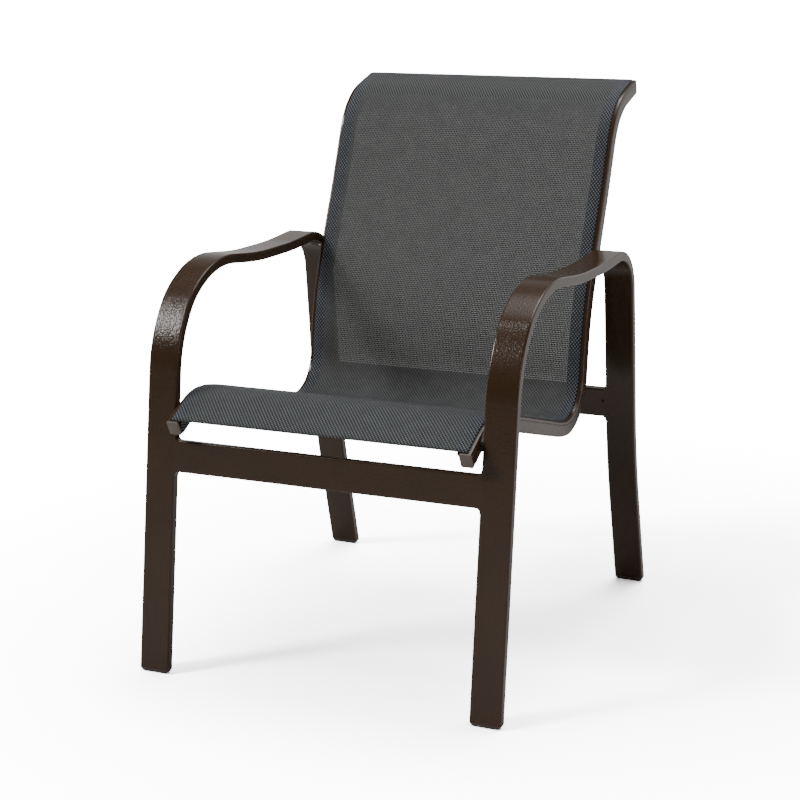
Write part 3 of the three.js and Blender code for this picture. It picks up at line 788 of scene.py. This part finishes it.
def cloth(name, section, start, stop, replaces=(), columns=CLOTH_STEP):
    """A sheet of mesh over the path: section is a row of (x, height) points, evenly filled in between."""
    bm = bmesh.new()
    across, along = bm.verts.layers.float.new("across"), bm.verts.layers.float.new("along")
    row, run = [], [0.0]
    for a, b in zip(section, section[1:]):
        count = max(1, round(math.dist(a, b) / columns))
        row += [(a[0] + (b[0] - a[0]) * i / count, a[1] + (b[1] - a[1]) * i / count) for i in range(count)]
    row.append(section[-1])
    for a, b in zip(row, row[1:]):
        run.append(run[-1] + math.dist(a, b) * MM)
    edges = chain_of(bm, across_path(cloth_path, start, row))
    bm.verts.ensure_lookup_table()
    for vert, distance in zip(bm.verts, run):
        vert[across] = distance - run[-1] / 2
    carry(bm, edges, cloth_path, start, stop, along)
    for vert in bm.verts:
        if vert[along] == 0.0:
            vert[along] = start
    uv = bm.loops.layers.uv.new("cloth")
    for face in bm.faces:
        for loop in face.loops:
            loop[uv].uv = (loop.vert[across], loop.vert[along])
    bmesh.ops.recalc_face_normals(bm, faces=bm.faces)
    obj = piece(name, bm, mesh_cloth, "sling_mesh", replaces, smooth=CLOTH_SMOOTH_ANGLE)
    wall = obj.modifiers.new("cloth thickness", "SOLIDIFY")
    wall.thickness = CLOTH_THICKNESS * MM
    wall.offset = 0
    return obj


def sling():
    half = [(SLOT_CENTRE + x, h) for x, h in SHEET_PROFILE]
    section = half + [(-x, h) for x, h in reversed(half)]
    return cloth("sling_sheet", section, SLING_START, SLING_STOP, ["sling"])


def side_hem(word, side):
    """The second layer of mesh that comes back from the slot, under the sheet."""
    section = [(SLOT_CENTRE + x, h) for x, h in HEM_PROFILE] + [(HEM_EDGE, HEM_HEIGHT)]
    return cloth(f"side_hem_{word}", [(side * x, h) for x, h in section], SLING_START, SLING_STOP)


def cross_hem(name, start, stop):
    """A turned-under end of the sheet, between the two side hems."""
    half = HEM_EDGE - HEM_GAP
    return cloth(name, [(half, HEM_HEIGHT), (-half, HEM_HEIGHT)], start, stop)


def hem_corner(word, side):
    """The tail of the side hem, tucked down against the rail's inner face at the front."""
    section = [(side * (RAIL_INNER + x), h) for x, h in TAIL_PROFILE]
    return cloth(f"hem_corner_{word}", section, SLING_START, TAIL_END * MM, columns=TAIL_STEP)


def stitches(name, spots):
    """Stitches, each a small bead of thread laid along its seam."""
    bm = bmesh.new()
    scale = Matrix.Diagonal((*(length * MM for length in STITCH_SIZE), 1))
    for middle, direction, up in spots:
        turn = Matrix((direction, direction.cross(up), up)).transposed().to_4x4()
        bmesh.ops.create_uvsphere(bm, u_segments=6, v_segments=4, radius=1,
                                  matrix=Matrix.Translation(middle) @ turn @ scale)
    return piece(name, bm, thread, "sling_mesh", smooth=THREAD_SMOOTH_ANGLE)


def seam_along(x, start, stop):
    """Places of the stitches of a seam that runs along the sheet."""
    spots, pitch = [], STITCH_PITCH * MM
    for i in range(int((stop - start) / pitch)):
        spot, angle = cloth_path.at(start + pitch * (i + 0.5), SEAM_HEIGHT * MM)
        spots.append((Vector((x * MM, spot.x, spot.y)), heading(angle), square_to(angle)))
    return spots


def seam_across(distance):
    """Places of the stitches of a seam that runs across the sheet."""
    spot, angle = cloth_path.at(distance, SEAM_HEIGHT * MM)
    count = int(2 * END_SEAM_HALF / STITCH_PITCH)
    places = [-END_SEAM_HALF + STITCH_PITCH * (i + 0.5) for i in range(count)]
    return [(Vector((x * MM, spot.x, spot.y)), Vector((1, 0, 0)), square_to(angle)) for x in places]


def rail_cap(word, side, end, distance, outward):
    """A moulded cap on a rail's end, with a plug that holds it in the rail's chamber."""
    bm = bmesh.new()
    thickness, edge, inner_corner = CAP_SIZES[end]
    points = [(RAIL_INNER, 0), (RAIL_OUTER, 0), (RAIL_OUTER, -RAIL_DEPTH), (RAIL_INNER, -RAIL_DEPTH)]
    corners = [inner_corner] + [CAP_CORNER] * 3
    rounded_face(bm, [(x * MM, h * MM, 0) for x, h in points], corners, segments=4)
    made = bmesh.ops.extrude_face_region(bm, geom=bm.faces[:])["geom"]
    verts = [g for g in made if isinstance(g, bmesh.types.BMVert)]
    bmesh.ops.translate(bm, vec=(0, 0, thickness * MM), verts=verts)
    rim = [e for e in bm.edges if all(v.co.z > thickness * MM * 0.9 for v in e.verts)]
    rounded_edges(bm, rim, edge, segments=3)
    middle = Vector(((RAIL_INNER + RAIL_OUTER) / 2, CAP_PLUG_HEIGHT, -CAP_PLUG_SINK)) * MM
    plug(bm, middle, CAP_PLUG, CAP_PLUG_EDGE)
    spot, angle = rail_path.at(distance)
    out = heading(angle) * outward
    place = Matrix((Vector((1, 0, 0)), square_to(angle), out)).transposed().to_4x4()
    place.translation = Vector((0, spot.x, spot.y)) + out * CAP_GAP * MM
    bmesh.ops.transform(bm, matrix=place, verts=bm.verts)
    on_side(bm, side)
    return piece(f"{end}_cap_{word}", bm, cap_plastic, "cap_plastic", [f"rail_{end}_cap_{word}"])


def foot_glide(word, side, end):
    """A moulded glide: a sole with drawn-in lower edges, and a plug inside the leg."""
    bm = bmesh.new()
    front = end == "front"
    outer, slope = frame_path.at_height(SOLE_HEIGHT * MM, front)
    spread = BAR_THICKNESS / abs(math.sin(slope))
    y0 = outer.x if front else outer.x - spread * MM
    y1 = y0 + spread * MM
    x0, x1 = FRAME_INNER * MM, (FRAME_INNER + BAR_WIDTH) * MM
    top = SOLE_HEIGHT * MM
    points = [(x0, y0, top), (x1, y0, top), (x1, y1, top), (x0, y1, top)]
    rounded_face(bm, points, [BAR_CORNER] * 4, segments=6)
    middle = Vector(((x0 + x1) / 2, (y0 + y1) / 2, 0))
    for drop, inset in GLIDE_RINGS:
        low = min(bm.faces, key=lambda f: f.calc_center_median().z)
        made = bmesh.ops.extrude_face_region(bm, geom=[low])["geom"]
        verts = [g for g in made if isinstance(g, bmesh.types.BMVert)]
        bmesh.ops.translate(bm, vec=(0, 0, -drop * MM), verts=verts)
        width = max(v.co.x for v in verts) - min(v.co.x for v in verts)
        depth = max(v.co.y for v in verts) - min(v.co.y for v in verts)
        drawn_in = (1 - 2 * inset * MM / width, 1 - 2 * GLIDE_DEPTH_SHARE * inset * MM / depth, 1)
        bmesh.ops.scale(bm, vec=drawn_in, verts=verts, space=Matrix.Translation(-middle))
    size = (BAR_WIDTH - GLIDE_PLUG_NARROWER, spread - GLIDE_PLUG_THINNER, GLIDE_PLUG_HEIGHT)
    lean = (1 if front else -1) / abs(math.tan(slope))
    plug(bm, (middle.x, middle.y, top + GLIDE_PLUG_RISE * MM), size, GLIDE_PLUG_EDGE, top, lean)
    on_side(bm, side)
    return piece(f"{end}_glide_{word}", bm, glide_plastic, "glide_plastic", [f"{end}_foot_glide_{word}"])


def turned(name, outline, side, plane, spot, material, slot, node):
    """A turned piece: a ring of (radius, distance) points spun round an axis across the chair."""
    bm = bmesh.new()
    edges = ring_of(bm, [(side * (plane + d) * MM, spot.y, spot.z + r * MM) for r, d in outline])
    bmesh.ops.spin(bm, geom=edges + bm.verts[:], cent=(0, spot.y, spot.z), axis=(1, 0, 0), dvec=(0, 0, 0),
                   angle=2 * math.pi, steps=ROUND_SIDES, use_merge=True, use_duplicate=False)
    bmesh.ops.remove_doubles(bm, verts=bm.verts, dist=MERGE_DISTANCE)
    bmesh.ops.recalc_face_normals(bm, faces=bm.faces)
    return piece(name, bm, material, slot, [node])


def ring_outline(outer, length, edge):
    """A ring with its bolt hole and rounded outer edges, as (radius, distance) points."""
    rim = [(outer - edge, 0), (outer, edge), (outer, length - edge), (outer - edge, length)]
    return [(BOLT_CLEARANCE, 0), *rim, (BOLT_CLEARANCE, length)]


def fasteners(word, side, end):
    spot = node_middle(f"{end}_rail_washer_{word}")
    seat = RAIL_OUTER - RAIL_WALL - WASHER_THICKNESS
    washer = ring_outline(WASHER_RADIUS, WASHER_THICKNESS, WASHER_EDGE)
    spacer = ring_outline(SPACER_RADIUS, SPACER_THICKNESS, SPACER_EDGE)
    turned(f"{end}_washer_{word}", washer, side, seat, spot, steel, "steel", f"{end}_rail_washer_{word}")
    turned(f"{end}_spacer_{word}", spacer, side, RAIL_OUTER, spot, spacer_plastic, "spacer_plastic",
           f"{end}_rail_spacer_{word}")
    turned(f"{end}_insert_{word}", INSERT_OUTLINE, side, FRAME_INNER, spot, steel, "steel",
           f"{end}_frame_insert_{word}")
    bolt(f"{end}_bolt_{word}", side, seat - BOLT_HEAD_HEIGHT, spot, f"{end}_rail_bolt_{word}")


def bolt(name, side, head, spot, node):
    """A socket bolt: the head lies in the rail's chamber and the shank runs out to the insert."""
    bm = bmesh.new()
    turn = Matrix.Rotation(math.pi / 2, 4, "Y")
    rings = []
    for radius, distance, sides in [*SOCKET_RINGS, *((r, d, ROUND_SIDES) for r, d in BOLT_RINGS)]:
        middle = Vector((side * (head + distance) * MM, spot.y, spot.z))
        verts = bmesh.ops.create_circle(bm, cap_ends=False, segments=sides, radius=radius * MM,
                                        matrix=Matrix.Translation(middle) @ turn)["verts"]
        rings.append(list({e for v in verts for e in v.link_edges}))
    for a, b in zip(rings, rings[1:]):
        bmesh.ops.bridge_loops(bm, edges=a + b)
    close_ends(bm)
    bmesh.ops.recalc_face_normals(bm, faces=bm.faces)
    return piece(name, bm, steel, "steel", [node])


front_spot, front_slope = frame_path.at_height(FRONT_BAR_HEIGHT * MM, True)
rear_spot, rear_slope = frame_path.at_height(REAR_BAR_HEIGHT * MM, False)
stretcher("front_cross_bar", "front_stretcher", front_spot, front_slope - math.pi / 2, 0)
rear_tilt = rear_slope + math.pi / 2
rear_bar = stretcher("rear_cross_bar", "rear_stretcher", rear_spot, rear_tilt, -BAR_THICKNESS)
drain_spots = [Vector((way * DRAIN_PLACE * MM, rear_spot.x - BAR_THICKNESS * MM, DRAIN_HEIGHT * MM))
               for way in (-1, 1)]
bored(rear_bar, [drill(spot, DRAIN_RADIUS, DRAIN_DEPTH, (0, 1, 0)) for spot in drain_spots])

sheet = sling()
for word, side in SIDES.items():
    arm_frame(word, side)
    sling_rail(word, side)
    side_hem(word, side)
    hem_corner(word, side)
    seam_x, seam_stop = side * (HEM_EDGE + SIDE_SEAM_INSET), SLING_STOP - SIDE_SEAM_END * MM
    stitches(f"side_seam_{word}", seam_along(seam_x, SIDE_SEAM_START * MM, seam_stop))
    rail_cap(word, side, "front", 0, -1)
    rail_cap(word, side, "top", rail_path.length, 1)
    # The spline rods stay as packed, in a plastic of their own
    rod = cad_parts[f"spline_rod_{word}"].data.materials
    rod.clear()
    rod.append(rod_plastic)
    for end in ENDS:
        foot_glide(word, side, end)
        fasteners(word, side, end)
cross_hem("front_hem", SLING_START, FRONT_HEM_END * MM)
cross_hem("top_hem", SLING_STOP - TOP_HEM * MM, SLING_STOP)
stitches("front_seam", seam_across(SLING_START + END_SEAM_INSET * MM))
stitches("top_seam", seam_across(SLING_STOP - END_SEAM_INSET * MM))


# Studio: a pale floor, broad soft lights and a dim dome. The whites are what the camera sees of the floor
# near the chair, where a painted shadow darkens it, far from it and through the mesh. Lengths are in
# metres.
FLOOR_HALF = 40
# Painted shadow: the middle of the floor's darker patch under the chair, and the distances over which it
# fades
SHADE_POOL_MIDDLE = (0.25, 0.05, 0)
SHADE_POOL_FADE = 0.3, 1.5
FLOOR_GREYS = (0.5, 0.5, 0.495), (0.52, 0.52, 0.515)
SHADE_POOL_WHITES = (5.2, 5.2, 5.17), (11.5, 11.5, 11.45)
MESH_WHITE = (0.42, 0.42, 0.405)
DOME_GLOW = 0.12
# The backdrop fades in toward the rear and out toward the top: these are parts of a unit direction
BACKDROP_DEPTHS = -0.1, 0.5
BACKDROP_HEIGHTS = 0.2, 0.8
BACKDROP_GLOW = 0.7
WHITE_GLOW = 45

# Where each light comes from, its angle in degrees and its strength
SOFT_SUNS = {
    "top": ((0.1, 0.25, 0.96), 60, 1.3),
    "middle": ((0, 0.3, 0.95), 30, 1.3),
    "high_front": ((-0.4, -0.25, 0.885), 5, 0.13),
    "left": ((-0.85, -0.4, 0.5), 20, 0.6),
    "front": ((-0.6, -0.51, 0.62), 13, 2.0),
    "right": ((0.88, -0.36, 0.3), 18, 0.5),
    "right_high": ((0.62, 0.2, 0.72), 12, 0.16),
    "back": ((0.4, 0.8, 0.45), 60, 0.4),
}

# The photograph's viewpoint: angles in degrees, the camera's place from the origin in mm, and the lens
CAMERA_AZIMUTH = 24.0422
CAMERA_ELEVATION = 14.3569
CAMERA_ROLL = -0.5714
CAMERA_BACK = 3287.89
CAMERA_RIGHT = -12.428
CAMERA_UP = 373.949
CAMERA_LENS = 87.945
CAMERA_SENSOR = 36
CAMERA_REACH = 200


def floor():
    """A pale floor, white to the camera, which still takes the chair's shadow and has a painted shadow
    round the chair.
    """
    bm = bmesh.new()
    bmesh.ops.create_grid(bm, x_segments=1, y_segments=1, size=FLOOR_HALF)
    finish = Finish("studio_floor")
    ray = finish.node("ShaderNodeLightPath")
    shade = finish.blend(finish.spread(finish.noise(scale=3), *NOISE_SPAN), *FLOOR_GREYS)
    plain = finish.node("ShaderNodeBsdfDiffuse", {}, {"Color": shade})
    # The floor is painted darker near the chair, a painted shadow that deepens the real one, and pales away
    # from it
    ends = {0: finish.place(), 1: SHADE_POOL_MIDDLE}
    away = finish.node("ShaderNodeVectorMath", {"operation": "DISTANCE"}, ends)
    pale = finish.blend(finish.spread(away.value("Value"), *SHADE_POOL_FADE), *SHADE_POOL_WHITES)
    seen = finish.blend(ray.value("Transparent Depth") < 0.5, MESH_WHITE, pale)
    bright = finish.node("ShaderNodeBsdfDiffuse", {}, {"Color": seen})
    choice = {0: ray["Is Camera Ray"], 1: plain["BSDF"], 2: bright["BSDF"]}
    both = finish.node("ShaderNodeMixShader", {}, choice)
    finish.node("ShaderNodeOutputMaterial", {}, {"Surface": both["Shader"]})
    mesh = bpy.data.meshes.new("floor")
    bm.to_mesh(mesh)
    bm.free()
    mesh.materials.append(finish.material)
    obj = bpy.data.objects.new("floor", mesh)
    bpy.context.scene.collection.objects.link(obj)


def soft_sun(name, towards, width, power):
    """A broad, distant light: towards points at it, and width is its angle in degrees."""
    light = bpy.data.lights.new(name, "SUN")
    light.angle = math.radians(width)
    light.energy = power
    obj = bpy.data.objects.new(name, light)
    obj.rotation_euler = Vector(towards).to_track_quat("Z", "Y").to_euler()
    bpy.context.scene.collection.objects.link(obj)


def dome():
    """A dim dome with a pale backdrop low down behind the chair, white where the camera sees it."""
    world = bpy.data.worlds.new("dome")
    sky = Finish("dome", world)
    way = sky.node("ShaderNodeTexCoord")["Generated"]
    split = sky.node("ShaderNodeSeparateXYZ", {}, {"Vector": way})
    backdrop = sky.spread(split.value("Y"), *BACKDROP_DEPTHS)
    backdrop = backdrop * sky.spread(split.value("Z"), *BACKDROP_HEIGHTS, 1, 0)
    ray = sky.node("ShaderNodeLightPath")
    seen = ray.value("Is Camera Ray") * (ray.value("Transparent Depth") < 0.5)
    glow = backdrop * BACKDROP_GLOW + DOME_GLOW + seen * WHITE_GLOW
    background = sky.node("ShaderNodeBackground", {}, {"Strength": glow})
    sky.node("ShaderNodeOutputWorld", {}, {"Surface": background["Background"]})
    bpy.context.scene.world = world


def photo_camera():
    azimuth, elevation, roll = (math.radians(a) for a in (CAMERA_AZIMUTH, CAMERA_ELEVATION, CAMERA_ROLL))
    back = Vector((math.sin(azimuth) * math.cos(elevation), -math.cos(azimuth) * math.cos(elevation),
                   math.sin(elevation)))
    right = Vector((math.cos(azimuth), math.sin(azimuth), 0))
    up = back.cross(right)
    right, up = right * math.cos(roll) + up * math.sin(roll), up * math.cos(roll) - right * math.sin(roll)
    data = bpy.data.cameras.new("camera")
    data.sensor_width = CAMERA_SENSOR
    data.lens = CAMERA_LENS
    data.clip_end = CAMERA_REACH
    obj = bpy.data.objects.new("camera", data)
    turn = Matrix((right, up, back)).transposed().to_4x4()
    place = (back * CAMERA_BACK + right * CAMERA_RIGHT + up * CAMERA_UP) * MM
    turn.translation = place + Vector((0, lift.x, 0))
    obj.matrix_world = turn
    bpy.context.scene.collection.objects.link(obj)
    bpy.context.scene.camera = obj


floor()
dome()
for name, (towards, width, power) in SOFT_SUNS.items():
    soft_sun(name, towards, width, power)
photo_camera()
